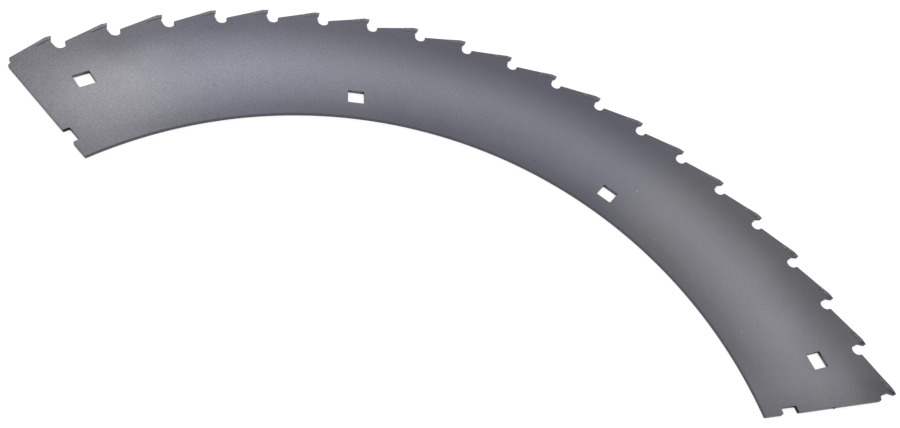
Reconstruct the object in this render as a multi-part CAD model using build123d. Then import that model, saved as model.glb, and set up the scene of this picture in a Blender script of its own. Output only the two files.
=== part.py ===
from build123d import *
from math import acos, atan2, degrees
import os

# Knife segment of a rotary forage harvester header, laser cut from one sheet of hardened steel.
# Three segments, bolted side by side to the rotor, close into a full toothed cutting disc.
# The origin is on the underside, in the middle of the segment on the circle of the inner bolts.
# +Z points up through the plate and +Y out from the centre of the disc. Seen from above, the
# teeth point clockwise.

# Plate, in millimetres and degrees
tip_radius = 411.0
inner_radius = 293.0
plate_thickness = 3.0
segment_angle = 120.0
end_corner_round = 1.0

# Teeth. Every depth is measured inwards from the tip circle, and every length along the cutting
# direction from the nose, the blunt front corner of a tooth. The front of a tooth is undercut.
tooth_count = 20
nose_to_end_angle = 0.39
nose_round = 0.5
land_length = 4.8
land_drop = 0.05
hook_undercut = 2.7
hook_depth = 5.1
hook_round = 2.1
gullet_depth = 15.0
gullet_ahead = 2.35
gullet_radius = 4.1
mouth_wall = 1.8
mouth_round = 1.3

# Hard facing, fused to the upper side of each tooth along its edge behind the nose
facing_length = 14.0
facing_width = 3.7
facing_height = 0.5
facing_slope = 0.3
facing_round = 1.0
facing_edge_round = 0.5

# Square holes for carriage bolts, and half holes at both ends of the plate. The outer bolts stand
# in from the tip circle, and the inner bolts and the half holes out from the inner edge.
bolt_square = 13.0
bolt_corner_round = 0.5
outer_bolt_depth = 51.0
outer_bolt_angle = 54.0
inner_bolt_inset = 22.0
inner_bolt_angle = 20.0
notch_depth = 5.0
notch_round = 1.2

outer_bolt_radius = tip_radius - outer_bolt_depth
inner_bolt_radius = inner_radius + inner_bolt_inset
gullet_centre_depth = gullet_depth - gullet_radius
mouth_depth = gullet_centre_depth - mouth_wall
mouth_length = gullet_ahead + gullet_radius
half_angle = segment_angle / 2
tooth_pitch = segment_angle / tooth_count
last_nose_angle = half_angle - nose_to_end_angle
nose_angles = [last_nose_angle - tooth_pitch * index for index in range(tooth_count)]


def from_nose(length, depth, teeth_ahead=0):
    """Point at a length and a depth from the nose of the tooth on +Y, or of another tooth."""
    return Vector(length, tip_radius - depth).rotate(Axis.Z, -tooth_pitch * teeth_ahead)


def turned_to(angle, shape):
    """Shape turned clockwise round the centre of the disc, away from +Y."""
    return Rot(0, 0, -angle) * shape


def tooth_edges():
    """Wall behind a tooth, its straight back, land, nose and undercut front, and the gullet before it."""
    gullet_centre = from_nose(gullet_ahead, gullet_centre_depth)
    hook_root = from_nose(-hook_undercut, hook_depth)
    to_root = hook_root - gullet_centre
    tangent_angle = degrees(acos(gullet_radius / to_root.length))
    gullet_start = gullet_centre + to_root.normalized().rotate(Axis.Z, tangent_angle) * gullet_radius
    gullet_floor = from_nose(gullet_ahead, gullet_depth)
    gullet_end = from_nose(mouth_length, gullet_centre_depth)
    profile = FilletPolyline(
        from_nose(mouth_length, gullet_centre_depth, -1),
        from_nose(mouth_length, mouth_depth, -1),
        from_nose(-land_length, land_drop),
        from_nose(0, 0),
        hook_root,
        gullet_start,
        radius=[mouth_round, 0, nose_round, hook_round],
    )
    return [*profile.edges(), ThreePointArc(gullet_start, gullet_floor, gullet_end)]


def toothed_blank():
    """Face from the disc centre out to the teeth, one tooth longer than the segment at each end."""
    blank_angles = [nose_angles[0] + tooth_pitch, *nose_angles, nose_angles[-1] - tooth_pitch]
    one_tooth = tooth_edges()
    edges = [turned_to(angle, edge) for angle in blank_angles for edge in one_tooth]
    last_gullet_end = turned_to(blank_angles[0], one_tooth[-1]) @ 1
    first_gullet_end = turned_to(blank_angles[-1], one_tooth[0]) @ 0
    return make_face([*edges, Line(last_gullet_end, (0, 0)), Line((0, 0), first_gullet_end)])


def ring_sector(inner, outer):
    """Part of a flat ring between two radii, over the angle of the segment."""
    inner_arc = CenterArc((0, 0), inner, 90 - half_angle, segment_angle)
    outer_arc = CenterArc((0, 0), outer, 90 - half_angle, segment_angle)
    ends = [Line(inner_arc @ 0, outer_arc @ 0), Line(inner_arc @ 1, outer_arc @ 1)]
    return make_face([inner_arc, outer_arc, *ends])


def bolt_cuts():
    """Two outer and two inner square holes, and the half hole at each end."""
    square = RectangleRounded(bolt_square, bolt_square, bolt_corner_round)
    half_square = RectangleRounded(2 * notch_depth, bolt_square, notch_round)
    cuts = []
    for side in (-1, 1):
        cuts.append(turned_to(side * outer_bolt_angle, Pos(0, outer_bolt_radius) * square))
        cuts.append(turned_to(side * inner_bolt_angle, Pos(0, inner_bolt_radius) * square))
        cuts.append(turned_to(side * half_angle, Pos(0, inner_bolt_radius) * half_square))
    return cuts


def is_on_end(vertex):
    """Whether a corner of the plate lies on one of its two straight ends, to a thousandth of a degree."""
    angle = degrees(atan2(vertex.X, vertex.Y))
    return round(abs(angle) - half_angle, 3) == 0


def plate_outline():
    """Flat face of the whole plate, with its end corners rounded."""
    face = toothed_blank() & ring_sector(inner_radius, tip_radius + gullet_depth)
    face = face - bolt_cuts()
    return fillet([corner for corner in face.vertices() if is_on_end(corner)], end_corner_round)


def hard_facing():
    """Raised strip along the land and the back of the tooth on +Y, from its undercut front."""
    land_start = from_nose(-land_length, land_drop)
    back_start = from_nose(mouth_length, mouth_depth, -1)
    share = (facing_length - land_length) / (land_start.X - back_start.X)
    strip_end = land_start + (back_start - land_start) * share
    band = FilletPolyline(
        strip_end,
        land_start,
        from_nose(0, 0),
        from_nose(-hook_undercut * facing_width / hook_depth, facing_width),
        strip_end - Vector(0, facing_width),
        radius=[facing_edge_round, 0, nose_round, facing_round, facing_round],
        close=True,
    )
    strip = extrude(Pos(0, 0, plate_thickness) * make_face(band), facing_height)
    return chamfer(strip.edges().group_by(Axis.Z)[-1], facing_slope)


def knife_segment():
    """Plate with its hard-faced teeth, as one solid, moved from the disc centre to the origin."""
    strip = hard_facing()
    plate = extrude(plate_outline(), plate_thickness)
    segment = plate + [turned_to(angle, strip) for angle in nose_angles]
    return Pos(0, -inner_bolt_radius) * segment


os.makedirs("parts", exist_ok=True)
export_step(knife_segment(), "parts/knife_segment.step")
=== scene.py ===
import math

import bmesh
import bpy
from mathutils import Matrix, Vector


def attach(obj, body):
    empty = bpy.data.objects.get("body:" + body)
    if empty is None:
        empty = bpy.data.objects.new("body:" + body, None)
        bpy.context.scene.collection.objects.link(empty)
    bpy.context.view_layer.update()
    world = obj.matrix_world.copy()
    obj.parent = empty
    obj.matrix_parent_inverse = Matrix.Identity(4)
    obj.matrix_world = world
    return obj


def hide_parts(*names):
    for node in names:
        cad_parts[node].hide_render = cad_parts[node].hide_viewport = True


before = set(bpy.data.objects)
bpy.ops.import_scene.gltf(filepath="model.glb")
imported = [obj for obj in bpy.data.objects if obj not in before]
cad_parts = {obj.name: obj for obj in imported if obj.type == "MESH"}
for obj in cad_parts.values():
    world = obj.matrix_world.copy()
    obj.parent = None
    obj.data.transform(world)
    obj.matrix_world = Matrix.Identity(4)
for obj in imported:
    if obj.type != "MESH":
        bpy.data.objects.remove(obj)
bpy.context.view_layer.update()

# Knife plate: one third of a toothed cutting disc, laser cut from 3 mm hardened boron steel and
# milled at its two straight ends. Blasting has blunted its edges, and a phosphate bath leaves it
# dark grey. Its outline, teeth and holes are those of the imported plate's underside.

MILLIMETRE = 0.001
disc_centre = Vector((0.0, -315.0, 0.0)) * MILLIMETRE
tip_radius = 411.0 * MILLIMETRE
inner_radius = 293.0 * MILLIMETRE
plate_thickness = 3.0 * MILLIMETRE
end_angle = math.radians(60)
blunted_edge = 0.2 * MILLIMETRE
blunted_edge_steps = 2
sharp_corner = math.radians(60)
steepest_blasted = math.radians(60)
angle_slack = math.radians(0.05)
longest_inner_chord = 4.0 * MILLIMETRE
same_place = 0.02 * MILLIMETRE


def underside_outline(node):
    """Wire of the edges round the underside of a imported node: its outline and its holes."""
    wire = bmesh.new()
    wire.from_mesh(node.data)
    bmesh.ops.remove_doubles(wire, verts=wire.verts, dist=same_place / 10)
    above = [face for face in wire.faces if max(corner.co.z for corner in face.verts) > same_place]
    bmesh.ops.delete(wire, geom=above, context="FACES")
    inside = [edge for edge in wire.edges if not edge.is_boundary]
    bmesh.ops.delete(wire, geom=inside, context="EDGES")
    return wire


def round_inner_edge(wire):
    """Divides the long chords of the inner edge and moves the new points out onto its circle."""
    def from_centre(vertex):
        return (vertex.co - disc_centre).length
    on_edge = {vertex for vertex in wire.verts if abs(from_centre(vertex) - inner_radius) < same_place}
    for edge in [edge for edge in wire.edges if on_edge.issuperset(edge.verts)]:
        pieces = math.ceil(edge.calc_length() / longest_inner_chord)
        if pieces > 1:
            added = bmesh.ops.subdivide_edges(wire, edges=[edge], cuts=pieces - 1)["geom_inner"]
            for vertex in added:
                if isinstance(vertex, bmesh.types.BMVert):
                    out = vertex.co - disc_centre
                    vertex.co = disc_centre + out * (inner_radius / out.length)


def new_object(name, mesh):
    """Object at the origin that shows a mesh."""
    thing = bpy.data.objects.new(name, mesh)
    bpy.context.scene.collection.objects.link(thing)
    return thing


def finished(thing):
    """Turns an object's live modifiers into a plain mesh of its own."""
    bpy.context.view_layer.update()
    evaluated = thing.evaluated_get(bpy.context.evaluated_depsgraph_get())
    mesh = bpy.data.meshes.new_from_object(evaluated)
    thing.modifiers.clear()
    thing.data = mesh
    return thing


def socket_of(tree, name):
    """Identifier of a node tree's input, by its name."""
    return next(item.identifier for item in tree.interface.items_tree if item.name == name)


def linear(hex_colour):
    """Linear RGBA of an sRGB hex colour such as 8a8a92."""
    shares = [int(hex_colour[start:start + 2], 16) / 255 for start in (0, 2, 4)]
    return [s / 12.92 if s <= 0.04045 else ((s + 0.055) / 1.055) ** 2.4 for s in shares] + [1.0]


def add(tree, kind, inputs=(), **settings):
    """Adds a node, sets what it is set to, and fills its inputs with values or links them."""
    node = tree.nodes.new(kind)
    for name, value in settings.items():
        setattr(node, name, value)
    for socket, value in dict(inputs).items():
        if isinstance(value, bpy.types.NodeSocket):
            tree.links.new(value, node.inputs[socket])
        else:
            node.inputs[socket].default_value = value
    return node


def new_material(name):
    """Empty node material, and its tree."""
    material = bpy.data.materials.new(name)
    material.use_nodes = True
    material.node_tree.nodes.clear()
    return material, material.node_tree


def fill_ramp(ramp, stops):
    """Gives a colour ramp its stops, each a position and a hex colour."""
    ramp.elements.remove(ramp.elements[0])
    for index, (position, colour) in enumerate(stops):
        stop = ramp.elements[0] if index == 0 else ramp.elements.new(position)
        stop.position = position
        stop.color = linear(colour)


def phosphated_steel():
    """Rolled and hardened steel sheet, blasted and phosphated: a dense layer of fine dark crystals.
    It looks satin and even, with a painted sheen: it is lighter along the middle of the sheet than
    beside its edges. A faint violet bloom fades out towards both ends, where painted shade darkens
    the rim, most at the right, and beside the end lines. The grain is fainter towards the right.
    Real grains are about 0.3 mm wide, and they are drawn 1.3 mm wide so that they show."""
    material, tree = new_material("phosphated_steel")
    place = add(tree, "ShaderNodeTexCoord").outputs["Object"]
    on_disc = add(tree, "ShaderNodeMapping", {0: place, "Location": -disc_centre}).outputs[0]
    flat = add(tree, "ShaderNodeVectorMath", {0: on_disc, 1: (1, 1, 0)}, operation="MULTIPLY").outputs[0]
    radius = add(tree, "ShaderNodeVectorMath", {0: flat}, operation="LENGTH").outputs["Value"]
    beside = add(tree, "ShaderNodeSeparateXYZ", {0: on_disc})
    turn = add(tree, "ShaderNodeMath", {
        0: beside.outputs["X"], 1: beside.outputs["Y"]}, operation="ARCTAN2")
    from_middle = add(tree, "ShaderNodeMath", {0: turn.outputs[0]}, operation="ABSOLUTE")

    # Painted sheen: tone from the inner edge, at 0, to the tips, at 1, lighter along the middle and
    # darker beside the edges, drifting in and out a little with the clouds
    cloud_width = 50 * MILLIMETRE
    cloud_drift = 6 * MILLIMETRE
    clouds = add(tree, "ShaderNodeTexNoise", {"Vector": place, "Scale": 1 / cloud_width, "Detail": 3.0})
    drift = add(tree, "ShaderNodeMath", {0: clouds.outputs["Fac"], 1: cloud_drift, 2: radius},
                operation="MULTIPLY_ADD")
    across = add(tree, "ShaderNodeMapRange", {
        "Value": drift.outputs[0], "From Min": inner_radius + cloud_drift / 2,
        "From Max": tip_radius + cloud_drift / 2})
    painted_sheen = add(tree, "ShaderNodeValToRGB", {0: across.outputs[0]})
    painted_sheen.color_ramp.interpolation = "CARDINAL"
    fill_ramp(painted_sheen.color_ramp, [
        (0.0, "5c5c66"), (0.14, "6a6a74"), (0.40, "7a7a84"), (0.60, "71717b"), (0.80, "5f5f69"),
        (1.0, "5d5d67")])
    # Towards both ends the painted sheen evens out to one grey
    evened_start = math.radians(50)
    most_evened = 0.7
    at_end = add(tree, "ShaderNodeMapRange", {
        "Value": from_middle.outputs[0], "From Min": evened_start, "From Max": end_angle,
        "To Min": 0.0, "To Max": most_evened})
    evened = add(tree, "ShaderNodeMix", {
        0: at_end.outputs[0], 6: painted_sheen.outputs["Color"], 7: linear("6d6d77")}, data_type="RGBA")

    # Violet bloom, as a share of the colours' own tinge
    bloom_middle = math.radians(-11)
    bloom_reach = math.radians(29)
    bloom_fade = math.radians(9)
    tinge_past_bloom = 0.53
    beside_bloom = add(tree, "ShaderNodeMath", {0: turn.outputs[0], 1: bloom_middle},
                       operation="SUBTRACT")
    from_bloom = add(tree, "ShaderNodeMath", {0: beside_bloom.outputs[0]}, operation="ABSOLUTE")
    bloom = add(tree, "ShaderNodeMapRange", {
        "Value": from_bloom.outputs[0], "From Min": bloom_reach, "From Max": bloom_reach + bloom_fade,
        "To Min": 1.0, "To Max": tinge_past_bloom})
    tinted = add(tree, "ShaderNodeHueSaturation", {"Color": evened.outputs[2],
                                                   "Saturation": bloom.outputs[0]})

    # Grain with a share of the clouds, coarse up to one X and fine past another
    grain_width = 1.3 * MILLIMETRE
    grain_depth = 0.03 * MILLIMETRE
    cloud_share = 0.5
    mottle_low = 0.5
    mottle_high = 1.0
    most_contrast = 0.2
    coarse_until = -220 * MILLIMETRE
    fine_from = 60 * MILLIMETRE
    fine_share = 0.42
    grain = add(tree, "ShaderNodeTexNoise", {"Vector": place, "Scale": 1 / grain_width, "Detail": 4.0,
                                             "Roughness": 0.6})
    mottle = add(tree, "ShaderNodeMath", {
        0: clouds.outputs["Fac"], 1: cloud_share, 2: grain.outputs["Fac"]}, operation="MULTIPLY_ADD")
    contrast = add(tree, "ShaderNodeMapRange", {
        "Value": mottle.outputs[0], "From Min": mottle_low, "From Max": mottle_high,
        "To Min": -most_contrast, "To Max": most_contrast})
    coarseness = add(tree, "ShaderNodeMapRange", {
        "Value": beside.outputs["X"], "From Min": coarse_until, "From Max": fine_from,
        "To Min": 1.0, "To Max": fine_share})
    speckle = add(tree, "ShaderNodeMath", {
        0: contrast.outputs[0], 1: coarseness.outputs[0], 2: 1.0}, operation="MULTIPLY_ADD")

    # Painted shade on the rim towards the ends, most at the right, and beside the end lines
    rim_start = 372 * MILLIMETRE
    rim_full = 400 * MILLIMETRE
    rim_painted_shade = 0.14
    right_rim_painted_shade = 0.3
    right_rim_start = math.radians(54)
    right_rim_full = math.radians(58)
    painted_shade_start = math.radians(20)
    painted_shade_full = math.radians(44)
    end_line_painted_shade = 0.17
    end_line_start = math.radians(56.5)
    rim_share = add(tree, "ShaderNodeMapRange", {
        "Value": turn.outputs[0], "From Min": right_rim_start, "From Max": right_rim_full,
        "To Min": rim_painted_shade, "To Max": right_rim_painted_shade})
    rim = add(tree, "ShaderNodeMapRange", {
        "Value": radius, "From Min": rim_start, "From Max": rim_full,
        "To Min": 0.0, "To Max": rim_share.outputs[0]})
    toward_end = add(tree, "ShaderNodeMapRange", {
        "Value": from_middle.outputs[0], "From Min": painted_shade_start, "From Max": painted_shade_full})
    beside_end = add(tree, "ShaderNodeMapRange", {
        "Value": from_middle.outputs[0], "From Min": end_line_start, "From Max": end_angle,
        "To Min": 0.0, "To Max": end_line_painted_shade})
    painted_shade = add(tree, "ShaderNodeMath", {
        0: rim.outputs[0], 1: toward_end.outputs[0], 2: beside_end.outputs[0]}, operation="MULTIPLY_ADD")
    shade = add(tree, "ShaderNodeMath", {0: speckle.outputs[0], 1: painted_shade.outputs[0]},
                operation="SUBTRACT")
    colour = add(tree, "ShaderNodeVectorMath", {0: tinted.outputs["Color"], "Scale": shade.outputs[0]},
                 operation="SCALE")

    # Flecks of mill scale and bare metal, some darker and some lighter than the sheet
    fleck_spacing = 11 * MILLIMETRE
    fleck_radius = 0.7 * MILLIMETRE
    soft_share = 0.4
    darkest_fleck = 0.6
    lightest_fleck = 1.5
    flecks = add(tree, "ShaderNodeTexVoronoi", {"Vector": place, "Scale": 1 / fleck_spacing})
    fleck = add(tree, "ShaderNodeMapRange", {
        "Value": flecks.outputs["Distance"], "From Min": (1 - soft_share) * fleck_radius / fleck_spacing,
        "From Max": (1 + soft_share) * fleck_radius / fleck_spacing, "To Min": 1.0, "To Max": 0.0})
    kind = add(tree, "ShaderNodeSeparateColor", {0: flecks.outputs["Color"]})
    fleck_tone = add(tree, "ShaderNodeMapRange", {
        "Value": kind.outputs[0], "From Min": 0.0, "From Max": 1.0,
        "To Min": darkest_fleck, "To Max": lightest_fleck})
    flecked = add(tree, "ShaderNodeVectorMath", {0: colour.outputs[0], "Scale": fleck_tone.outputs[0]},
                  operation="SCALE")
    colour = add(tree, "ShaderNodeMix", {0: fleck.outputs[0], 4: colour.outputs[0],
                                         5: flecked.outputs[0]}, data_type="VECTOR")

    # Gloss, a little uneven with the clouds, and the finished surface
    glossiest = 0.44
    dullest = 0.54
    gloss = add(tree, "ShaderNodeMapRange", {
        "Value": clouds.outputs["Fac"], "From Min": 0.3, "From Max": 0.7,
        "To Min": glossiest, "To Max": dullest})
    relief = add(tree, "ShaderNodeBump", {
        "Height": grain.outputs["Fac"], "Distance": grain_depth, "Strength": coarseness.outputs[0]})
    surface = add(tree, "ShaderNodeBsdfPrincipled", {
        "Base Color": colour.outputs[1], "Metallic": 1.0, "Roughness": gloss.outputs[0],
        "Normal": relief.outputs[0]})
    add(tree, "ShaderNodeOutputMaterial", {"Surface": surface.outputs[0]})
    return material


def laser_cut_edge():
    """Wall that the laser leaves: dark oxide, with fine lines across the sheet's thickness. It is
    lighter in the square holes, with painted shade in their outer corners, and painted shade makes it
    black on the outer side of the notches. The real lines are 0.2 mm apart, and they are drawn 0.6 mm
    apart so that they show."""
    material, tree = new_material("laser_cut_edge")
    place = add(tree, "ShaderNodeTexCoord").outputs["Object"]
    line_spacing = 0.6 * MILLIMETRE
    line_depth = 0.08 * MILLIMETRE
    upright_share = 0.08
    drawn_out = add(tree, "ShaderNodeVectorMath", {0: place, 1: (1, 1, upright_share)},
                    operation="MULTIPLY")
    lines = add(tree, "ShaderNodeTexNoise", {"Vector": drawn_out.outputs[0], "Scale": 1 / line_spacing,
                                             "Detail": 2.0})
    oxide = add(tree, "ShaderNodeMix", {
        0: lines.outputs["Fac"], 6: linear("4a4a51"), 7: linear("6a6a72")}, data_type="RGBA")
    colour = oxide.outputs[2]
    same_both_sides = add(tree, "ShaderNodeVectorMath", {0: place}, operation="ABSOLUTE").outputs[0]

    # Each patch lies on both sides of the plate, at a radius in mm and an angle in degrees from the
    # middle. It is full as far as its core and ends at its reach, in mm, and multiplies the tone.
    outer_hole = (360.0, 54.0, 9.5, 11.0, 1.3)
    inner_hole = (315.0, 20.0, 9.5, 11.0, 1.3)
    # Painted shade in the outer corners of the holes and on the outer side of the notches
    outer_hole_painted_shade = (366.6, 53.0, 1.0, 7.0, 0.4)
    near_inner_hole_painted_shade = (321.6, 18.8, 0.5, 4.5, 0.45)
    far_inner_hole_painted_shade = (321.6, 21.2, 0.5, 4.5, 0.6)
    notch_painted_shade = (321.5, 59.5, 4.0, 5.5, 0.25)
    patches = [outer_hole, inner_hole, outer_hole_painted_shade, near_inner_hole_painted_shade, far_inner_hole_painted_shade,
               notch_painted_shade]
    for patch_radius, patch_angle, core, reach, share in patches:
        turn = math.radians(patch_angle)
        middle = disc_centre + Vector((math.sin(turn), math.cos(turn), 0)) * patch_radius * MILLIMETRE
        from_middle = add(tree, "ShaderNodeVectorMath", {
            0: same_both_sides, 1: (abs(middle.x), abs(middle.y), plate_thickness / 2)},
            operation="DISTANCE")
        patch = add(tree, "ShaderNodeMapRange", {
            "Value": from_middle.outputs["Value"], "From Min": core * MILLIMETRE,
            "From Max": reach * MILLIMETRE, "To Min": share, "To Max": 1.0})
        colour = add(tree, "ShaderNodeVectorMath", {0: colour, "Scale": patch.outputs[0]},
                     operation="SCALE").outputs[0]
    relief = add(tree, "ShaderNodeBump", {
        "Height": lines.outputs["Fac"], "Distance": line_depth, "Strength": 1.0})
    surface = add(tree, "ShaderNodeBsdfPrincipled", {
        "Base Color": colour, "Metallic": 1.0, "Roughness": 0.55, "Normal": relief.outputs[0]})
    add(tree, "ShaderNodeOutputMaterial", {"Surface": surface.outputs[0]})
    return material


def sheet_from_outline():
    """Node tree that fills a wire outline and its holes with one flat face."""
    tree = bpy.data.node_groups.new("sheet from outline", "GeometryNodeTree")
    tree.interface.new_socket("Outline", in_out="INPUT", socket_type="NodeSocketGeometry")
    tree.interface.new_socket("Material", in_out="INPUT", socket_type="NodeSocketMaterial")
    tree.interface.new_socket("Sheet", in_out="OUTPUT", socket_type="NodeSocketGeometry")
    given = add(tree, "NodeGroupInput").outputs
    curve = add(tree, "GeometryNodeMeshToCurve", {0: given["Outline"]})
    sheet = add(tree, "GeometryNodeFillCurve", {0: curve.outputs[0]}, mode="NGONS")
    smooth = add(tree, "GeometryNodeSetShadeSmooth", {0: sheet.outputs[0]})
    whole = add(tree, "GeometryNodeRealizeInstances", {0: smooth.outputs[0]})
    finish = add(tree, "GeometryNodeSetMaterial", {0: whole.outputs[0], "Material": given["Material"]})
    add(tree, "NodeGroupOutput", {0: finish.outputs[0]})
    return tree


packed_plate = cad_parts["knife_segment"]
outline = underside_outline(packed_plate)
round_inner_edge(outline)
plate_mesh = bpy.data.meshes.new("knife_plate")
outline.to_mesh(plate_mesh)
outline.free()
knife_plate = new_object("knife_plate", plate_mesh)
filling = knife_plate.modifiers.new("filling", "NODES")
filling.node_group = sheet_from_outline()
filling[socket_of(filling.node_group, "Material")] = phosphated_steel()
thickening = knife_plate.modifiers.new("thickening", "SOLIDIFY")
thickening.thickness = plate_thickness
thickening.offset = 1.0
blunting = knife_plate.modifiers.new("blunting", "BEVEL")
blunting.width = blunted_edge
blunting.segments = blunted_edge_steps
blunting.limit_method = "ANGLE"
blunting.angle_limit = sharp_corner
blunting.use_clamp_overlap = False
flat_sides = knife_plate.modifiers.new("flat sides", "WEIGHTED_NORMAL")
flat_sides.weight = 100
finished(knife_plate)

cut_edge = laser_cut_edge()
knife_plate.data.materials.append(cut_edge)
for face in knife_plate.data.polygons:
    out = face.center - disc_centre
    on_milled_end = abs(math.atan2(out.x, out.y)) > end_angle - angle_slack
    on_wall = abs(face.normal.z) < math.cos(steepest_blasted)
    face.material_index = int(on_wall and not on_milled_end)
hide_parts("knife_segment")
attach(knife_plate, "root")

# Hard facing: a layer of tungsten carbide grains in a nickel alloy, fused by laser along the upper
# edge of each tooth behind its nose. It is a low rounded bead that covers the blunted edge there.

tooth_count = 20
tooth_pitch = math.radians(6.0)
first_nose_angle = math.radians(59.61)
facing_length = 14.0 * MILLIMETRE
facing_width = 3.7 * MILLIMETRE
facing_height = 0.5 * MILLIMETRE
facing_sunk = 0.4 * MILLIMETRE
facing_inset = 0.03 * MILLIMETRE
nose_slope = 0.25 * MILLIMETRE
back_slope = 0.8 * MILLIMETRE
inner_slope = 0.55 * MILLIMETRE
back_inset = 0.15 * MILLIMETRE
front_undercut = 1.96 * MILLIMETRE
nose_corner = 0.5 * MILLIMETRE
outer_end_corner = 0.5 * MILLIMETRE
inner_end_corner = 1.0 * MILLIMETRE
land_length = 4.8 * MILLIMETRE
land_end_radius = 410.95 * MILLIMETRE
facing_end_radius = 407.79 * MILLIMETRE
lump_height = 0.04 * MILLIMETRE
lump_width = 1.5 * MILLIMETRE
steps_along = 48
steps_across = 14


def pinch(gap, corner):
    """How far a rounded corner pulls in a side, at a distance from the corner's end."""
    left = max(corner - gap, 0.0)
    return corner - math.sqrt(corner * corner - left * left)


def crowded_steps(count):
    """Shares from 0 to 1 that lie closer together near both ends."""
    return [0.5 - 0.5 * math.cos(math.pi * index / count) for index in range(count + 1)]


def round_rise(gap, slope):
    """Share of the bead's height at a distance from a border where its side is round."""
    left = 1.0 - min(gap / slope, 1.0)
    return math.sqrt(1.0 - left * left)


def facing_bead():
    """Closed mesh of one bead, about the disc centre, on the tooth whose nose is on +Y. Its front
    end leans back with the undercut front of the tooth. It is steep at the nose, and runs out
    towards its back end. The attribute along_tooth is 0 at the nose and 1 at the back end, and
    across_tooth is 0 at its foot on the sheet and 1 on the edge of the tooth."""
    def back_of_tooth(length):
        on_land = (tip_radius, land_end_radius, length / land_length)
        on_slope = (land_end_radius, facing_end_radius,
                    (length - land_length) / (facing_length - land_length))
        start, end, share = on_land if length < land_length else on_slope
        return start + (end - start) * share
    bead = bmesh.new()
    along_tooth = bead.verts.layers.float.new("along_tooth")
    across_tooth = bead.verts.layers.float.new("across_tooth")
    rows = []
    for share_along in crowded_steps(steps_along):
        length = share_along * facing_length
        to_end = facing_length - length
        outer = back_of_tooth(length) - pinch(length, nose_corner) - pinch(to_end, outer_end_corner)
        outer -= facing_inset + (back_inset - facing_inset) * share_along
        inner = tip_radius - facing_width + (facing_end_radius - tip_radius) * share_along
        inner += pinch(length, inner_end_corner) + pinch(to_end, inner_end_corner)
        lean = front_undercut * (1 - share_along)
        outer_slope = nose_slope + (back_slope - nose_slope) * share_along
        row = []
        for share_across in crowded_steps(steps_across):
            y = inner + (outer - inner) * share_across
            x = -facing_inset - share_along * (facing_length - facing_inset)
            x -= lean * (outer - y) / facing_width
            rise = min(round_rise(length, nose_slope), round_rise(outer - y, outer_slope),
                       (y - inner) / inner_slope, to_end / inner_slope)
            row.append(bead.verts.new((x, y, plate_thickness + facing_height * rise)))
            row[-1][along_tooth] = share_along
            row[-1][across_tooth] = share_across
        rows.append(row)
    for near, far in zip(rows, rows[1:]):
        for side in range(steps_across):
            bead.faces.new((near[side], near[side + 1], far[side + 1], far[side]))
    foot = bmesh.ops.extrude_edge_only(bead, edges=[edge for edge in bead.edges if edge.is_boundary])
    foot = [item for item in foot["geom"] if isinstance(item, bmesh.types.BMVert)]
    for corner in foot:
        corner.co.z = plate_thickness - facing_sunk
    bmesh.ops.contextual_create(bead, geom=[edge for edge in bead.edges if edge.is_boundary])
    bmesh.ops.recalc_face_normals(bead, faces=bead.faces)
    mesh = bpy.data.meshes.new("facing_bead")
    bead.to_mesh(mesh)
    bead.free()
    return mesh


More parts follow.
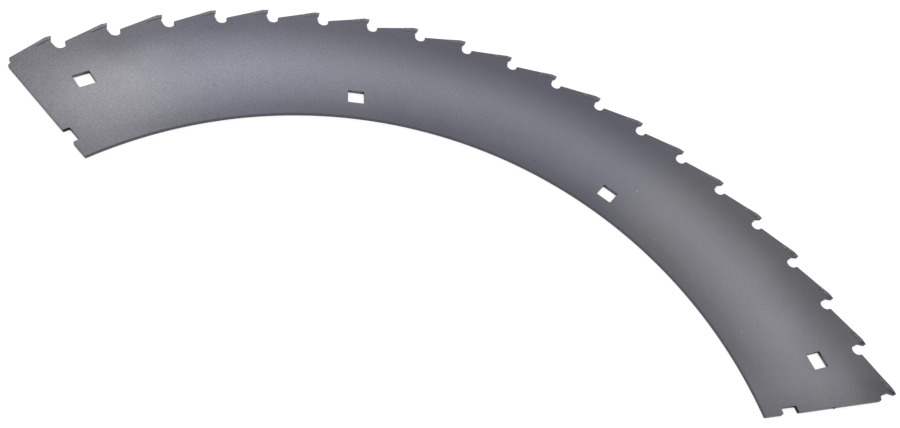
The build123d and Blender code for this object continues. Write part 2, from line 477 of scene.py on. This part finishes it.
def fused_carbide():
    """Fused tungsten carbide facing: hard grains in a solidified metal skin. It is nearly as grey as
    the sheet, but pebbled and blotchy, and a painted highlight makes it lighter at both ends, where
    they catch the light. On the first teeth from the left it has a painted shadow line along its
    foot. On the last ones, painted shade makes it darker; it is blotchier there and without its
    violet tinge, and the noses of the last three are darker. Real grains are about 0.1 mm wide, and
    they are drawn 0.8 mm wide so that they show."""
    material, tree = new_material("fused_carbide")
    place = add(tree, "ShaderNodeTexCoord").outputs["Object"]
    beside = add(tree, "ShaderNodeSeparateXYZ", {0: place})
    along = add(tree, "ShaderNodeAttribute", attribute_name="along_tooth").outputs["Fac"]
    across = add(tree, "ShaderNodeAttribute", attribute_name="across_tooth").outputs["Fac"]
    # Painted highlights: the bead is lighter at its nose and at its back end, where its ends catch the
    # light
    painted_end_highlights = add(tree, "ShaderNodeValToRGB", {0: along})
    fill_ramp(painted_end_highlights.color_ramp, [
        (0.0, "78787a"), (0.08, "717175"), (0.16, "69686e"), (0.93, "67666f"), (1.0, "86868b")])

    # How each trait changes from tooth to tooth: between one X and another, in mm, its share goes
    # from a first value to a second. The last two are of the whole bead. The foot is a painted shadow
    # line, and the shade is painted shade on the last teeth.
    changes = {"blotches": (180, 300, 0.6, 1.3), "foot": (-300, -240, 0.65, 1.0),
               "nose": (285, 330, 1.0, 0.5), "shade": (180, 350, 1.0, 0.72),
               "tinge": (150, 250, 1.0, 0.2)}
    share_here = {}
    for trait, (start, end, at_start, at_end) in changes.items():
        share = add(tree, "ShaderNodeMapRange", {
            "Value": beside.outputs["X"], "From Min": start * MILLIMETRE, "From Max": end * MILLIMETRE,
            "To Min": at_start, "To Max": at_end})
        share_here[trait] = share.outputs[0]

    grain_width = 0.8 * MILLIMETRE
    grain_depth = 0.05 * MILLIMETRE
    mean_shade = 0.98
    grains = add(tree, "ShaderNodeTexVoronoi", {"Vector": place, "Scale": 1 / grain_width})
    blotch = add(tree, "ShaderNodeSeparateColor", {0: grains.outputs["Color"]})
    above_mean = add(tree, "ShaderNodeMath", {0: blotch.outputs[0], 1: 0.5}, operation="SUBTRACT")
    shade = add(tree, "ShaderNodeMath", {
        0: above_mean.outputs[0], 1: share_here["blotches"], 2: mean_shade}, operation="MULTIPLY_ADD")
    # Painted shadow line along the bead's foot, on the first teeth from the left
    foot_shadow_full = 0.08
    foot_shadow_end = 0.2
    foot = add(tree, "ShaderNodeMapRange", {
        "Value": across, "From Min": foot_shadow_full, "From Max": foot_shadow_end,
        "To Min": share_here["foot"], "To Max": 1.0})
    nose_full = 0.1
    nose_end = 0.25
    nose = add(tree, "ShaderNodeMapRange", {
        "Value": along, "From Min": nose_full, "From Max": nose_end,
        "To Min": share_here["nose"], "To Max": 1.0})
    # The share for shade is painted shade on the last teeth
    for other in (foot.outputs[0], nose.outputs[0], share_here["shade"]):
        shade = add(tree, "ShaderNodeMath", {0: shade.outputs[0], 1: other}, operation="MULTIPLY")
    tinted = add(tree, "ShaderNodeHueSaturation", {"Color": painted_end_highlights.outputs["Color"],
                                                   "Saturation": share_here["tinge"]})
    colour = add(tree, "ShaderNodeVectorMath", {0: tinted.outputs["Color"], "Scale": shade.outputs[0]},
                 operation="SCALE")
    relief = add(tree, "ShaderNodeBump", {
        "Height": grains.outputs["Distance"], "Distance": grain_depth, "Strength": 1.0}, invert=True)
    surface = add(tree, "ShaderNodeBsdfPrincipled", {
        "Base Color": colour.outputs[0], "Metallic": 1.0, "Roughness": 0.5,
        "Normal": relief.outputs[0]})
    add(tree, "ShaderNodeOutputMaterial", {"Surface": surface.outputs[0]})
    return material


def beads_on_teeth():
    """Node tree that repeats one bead round the disc centre, a copy for each tooth, and gives the
    fused surface its lumps."""
    tree = bpy.data.node_groups.new("beads on teeth", "GeometryNodeTree")
    entries = [("Bead", "NodeSocketGeometry"), ("Count", "NodeSocketInt"), ("Pitch", "NodeSocketFloat"),
               ("First angle", "NodeSocketFloat"), ("Centre", "NodeSocketVector"),
               ("Sheet thickness", "NodeSocketFloat"), ("Lump height", "NodeSocketFloat"),
               ("Lump width", "NodeSocketFloat"), ("Material", "NodeSocketMaterial")]
    for name, kind in entries:
        tree.interface.new_socket(name, in_out="INPUT", socket_type=kind)
    tree.interface.new_socket("Beads", in_out="OUTPUT", socket_type="NodeSocketGeometry")
    sizes = add(tree, "NodeGroupInput").outputs
    teeth = add(tree, "GeometryNodeMeshLine", {
        "Count": sizes["Count"], "Start Location": sizes["Centre"], "Offset": (0, 0, 0)})
    index = add(tree, "GeometryNodeInputIndex").outputs[0]
    turn = add(tree, "ShaderNodeMath", {0: index, 1: sizes["Pitch"], 2: sizes["First angle"]},
               operation="MULTIPLY_ADD")
    turned = add(tree, "ShaderNodeCombineXYZ", {"Z": turn.outputs[0]})
    copies = add(tree, "GeometryNodeInstanceOnPoints", {
        "Points": teeth.outputs[0], "Instance": sizes["Bead"], "Rotation": turned.outputs[0]})
    beads = add(tree, "GeometryNodeRealizeInstances", {0: copies.outputs[0]})
    place = add(tree, "GeometryNodeInputPosition").outputs[0]
    fineness = add(tree, "ShaderNodeMath", {0: 1.0, 1: sizes["Lump width"]}, operation="DIVIDE")
    lumps = add(tree, "ShaderNodeTexNoise", {
        "Vector": place, "Scale": fineness.outputs[0], "Detail": 2.0})
    height = add(tree, "ShaderNodeMapRange", {
        "Value": lumps.outputs["Fac"], "From Min": 0.3, "From Max": 0.7, "To Min": -1.0, "To Max": 1.0})
    above = add(tree, "ShaderNodeSeparateXYZ", {0: place})
    bare = add(tree, "ShaderNodeMath", {0: above.outputs["Z"], 1: sizes["Sheet thickness"]},
               operation="GREATER_THAN")
    rise = add(tree, "ShaderNodeMath", {0: height.outputs[0], 1: sizes["Lump height"]},
               operation="MULTIPLY")
    rise = add(tree, "ShaderNodeMath", {0: rise.outputs[0], 1: bare.outputs[0]}, operation="MULTIPLY")
    lift = add(tree, "ShaderNodeCombineXYZ", {"Z": rise.outputs[0]})
    lumpy = add(tree, "GeometryNodeSetPosition", {0: beads.outputs[0], "Offset": lift.outputs[0]})
    smooth = add(tree, "GeometryNodeSetShadeSmooth", {0: lumpy.outputs[0]})
    finish = add(tree, "GeometryNodeSetMaterial", {0: smooth.outputs[0], "Material": sizes["Material"]})
    add(tree, "NodeGroupOutput", {0: finish.outputs[0]})
    return tree


hard_facing = new_object("hard_facing", facing_bead())
repeating = hard_facing.modifiers.new("repeating", "NODES")
repeating.node_group = beads_on_teeth()
for name, value in (("Count", tooth_count), ("Pitch", tooth_pitch), ("First angle", -first_nose_angle),
                    ("Centre", disc_centre), ("Sheet thickness", plate_thickness),
                    ("Lump height", lump_height), ("Lump width", lump_width),
                    ("Material", fused_carbide())):
    repeating[socket_of(repeating.node_group, name)] = value
finished(hard_facing)
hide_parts("knife_segment")
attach(hard_facing, "root")

# Spatter: a drop of steel thrown off while the last tooth was faced, which stuck to the milled
# right end of the plate and set there. It is dark with the same oxide as the cut edges.

drop_radius = 353.0 * MILLIMETRE
drop_length = 2.6 * MILLIMETRE
drop_height = 2.4 * MILLIMETRE
drop_middle_height = 1.7 * MILLIMETRE
drop_stand_out = 0.9 * MILLIMETRE
drop_sunk = 0.3 * MILLIMETRE
wide_dents = 0.12
small_dents = 0.08


def dented(x, y, z):
    """Share of its round size that the drop has in a direction. Waves of odd lengths, shifted
    against each other, make its shallow dents uneven."""
    wide = math.sin(3.1 * x + 0.7) * math.cos(2.3 * y - 0.4)
    small = math.sin(5.0 * z)
    return 1.0 + wide_dents * wide + small_dents * small


def spatter_drop():
    """Closed lump, flattened against the end of the plate and sunk into it a little."""
    lump = bmesh.new()
    bmesh.ops.create_icosphere(lump, subdivisions=3, radius=1.0)
    to_end = Matrix.Rotation(-end_angle, 3, "Z")
    for vertex in lump.verts:
        x, y, z = vertex.co
        dent = dented(x, y, z)
        out = y * drop_stand_out * dent if y > 0 else y * drop_sunk
        along = drop_radius + x * drop_length / 2 * dent
        up = drop_middle_height + z * drop_height / 2 * dent
        vertex.co = disc_centre + to_end @ Vector((out, along, up))
    for face in lump.faces:
        face.smooth = True
    bmesh.ops.recalc_face_normals(lump, faces=lump.faces)
    mesh = bpy.data.meshes.new("spatter_drop")
    lump.to_mesh(mesh)
    lump.free()
    return mesh


drop = new_object("spatter_drop", spatter_drop())
drop.data.materials.append(cut_edge)
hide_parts("knife_segment")
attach(drop, "root")

# Floor: a wide sheet of plain white paper that the plate lies on. To the camera and to glossy
# surfaces it glows white, and it keeps the plate's faint shadow.

floor_half_side = 6.0
floor_gap = 0.1 * MILLIMETRE
paper_glow = 0.72
floor_corners = [(x * floor_half_side, y * floor_half_side, -floor_gap)
                 for x, y in ((-1, -1), (1, -1), (1, 1), (-1, 1))]
floor_mesh = bpy.data.meshes.new("floor")
floor_mesh.from_pydata(floor_corners, [], [(0, 1, 2, 3)])
floor = new_object("floor", floor_mesh)
white_paper, tree = new_material("white_paper")
paper = add(tree, "ShaderNodeBsdfDiffuse", {"Color": linear("fafafa")})
lit_paper = add(tree, "ShaderNodeBsdfDiffuse", {"Color": linear("a0a0a0")})
glow = add(tree, "ShaderNodeEmission", {"Color": linear("ffffff"), "Strength": paper_glow})
seen_paper = add(tree, "ShaderNodeAddShader", {0: lit_paper.outputs[0], 1: glow.outputs[0]})
ray = add(tree, "ShaderNodeLightPath").outputs
seen = add(tree, "ShaderNodeMath", {
    0: ray["Is Camera Ray"], 1: ray["Is Glossy Ray"]}, operation="MAXIMUM")
surface = add(tree, "ShaderNodeMixShader", {
    0: seen.outputs[0], 1: paper.outputs[0], 2: seen_paper.outputs[0]})
add(tree, "ShaderNodeOutputMaterial", {"Surface": surface.outputs[0]})
floor_mesh.materials.append(white_paper)

# Light: a plain white room all round, and two square white lamps above and behind the plate. Both
# are large and far enough off to be soft, and the left one is the stronger.

world = bpy.data.worlds.new("white room")
bpy.context.scene.world = world
world.use_nodes = True
world.node_tree.nodes.clear()
room = add(world.node_tree, "ShaderNodeBackground", {"Color": linear("ffffff"), "Strength": 1.0})
add(world.node_tree, "ShaderNodeOutputWorld", {"Surface": room.outputs[0]})


def soft_lamp(name, place, aim, side, power):
    """Square white lamp at a place, turned to a point."""
    light = bpy.data.lights.new(name, "AREA")
    light.shape = "SQUARE"
    light.size = side
    light.energy = power
    lamp = new_object(name, light)
    lamp.location = place
    lamp.rotation_euler = (Vector(aim) - Vector(place)).to_track_quat("-Z", "Y").to_euler()
    return lamp


soft_lamp("lamp behind left", place=(-1.1, 1.2, 1.4), aim=(-0.2, -0.1, 0), side=1.0, power=7.5)
soft_lamp("lamp behind right", place=(1.1, 1.0, 1.5), aim=(0.2, -0.1, 0), side=0.8, power=1.9)

# Camera: above the inner edge, looking down over the plate at its teeth, and turned so that the
# right end hangs low in the picture.

lens = bpy.data.cameras.new("camera")
lens.sensor_width = 36.0
lens.lens = 36.87
lens.shift_x = -0.0194
lens.shift_y = 0.0078
camera = new_object("camera", lens)
camera.location = (0.0011, -0.5441, 0.5260)
camera.rotation_euler = [math.radians(angle) for angle in (38.30, -14.00, 15.85)]
bpy.context.scene.camera = camera

bpy.context.scene.view_settings.view_transform = "Standard"
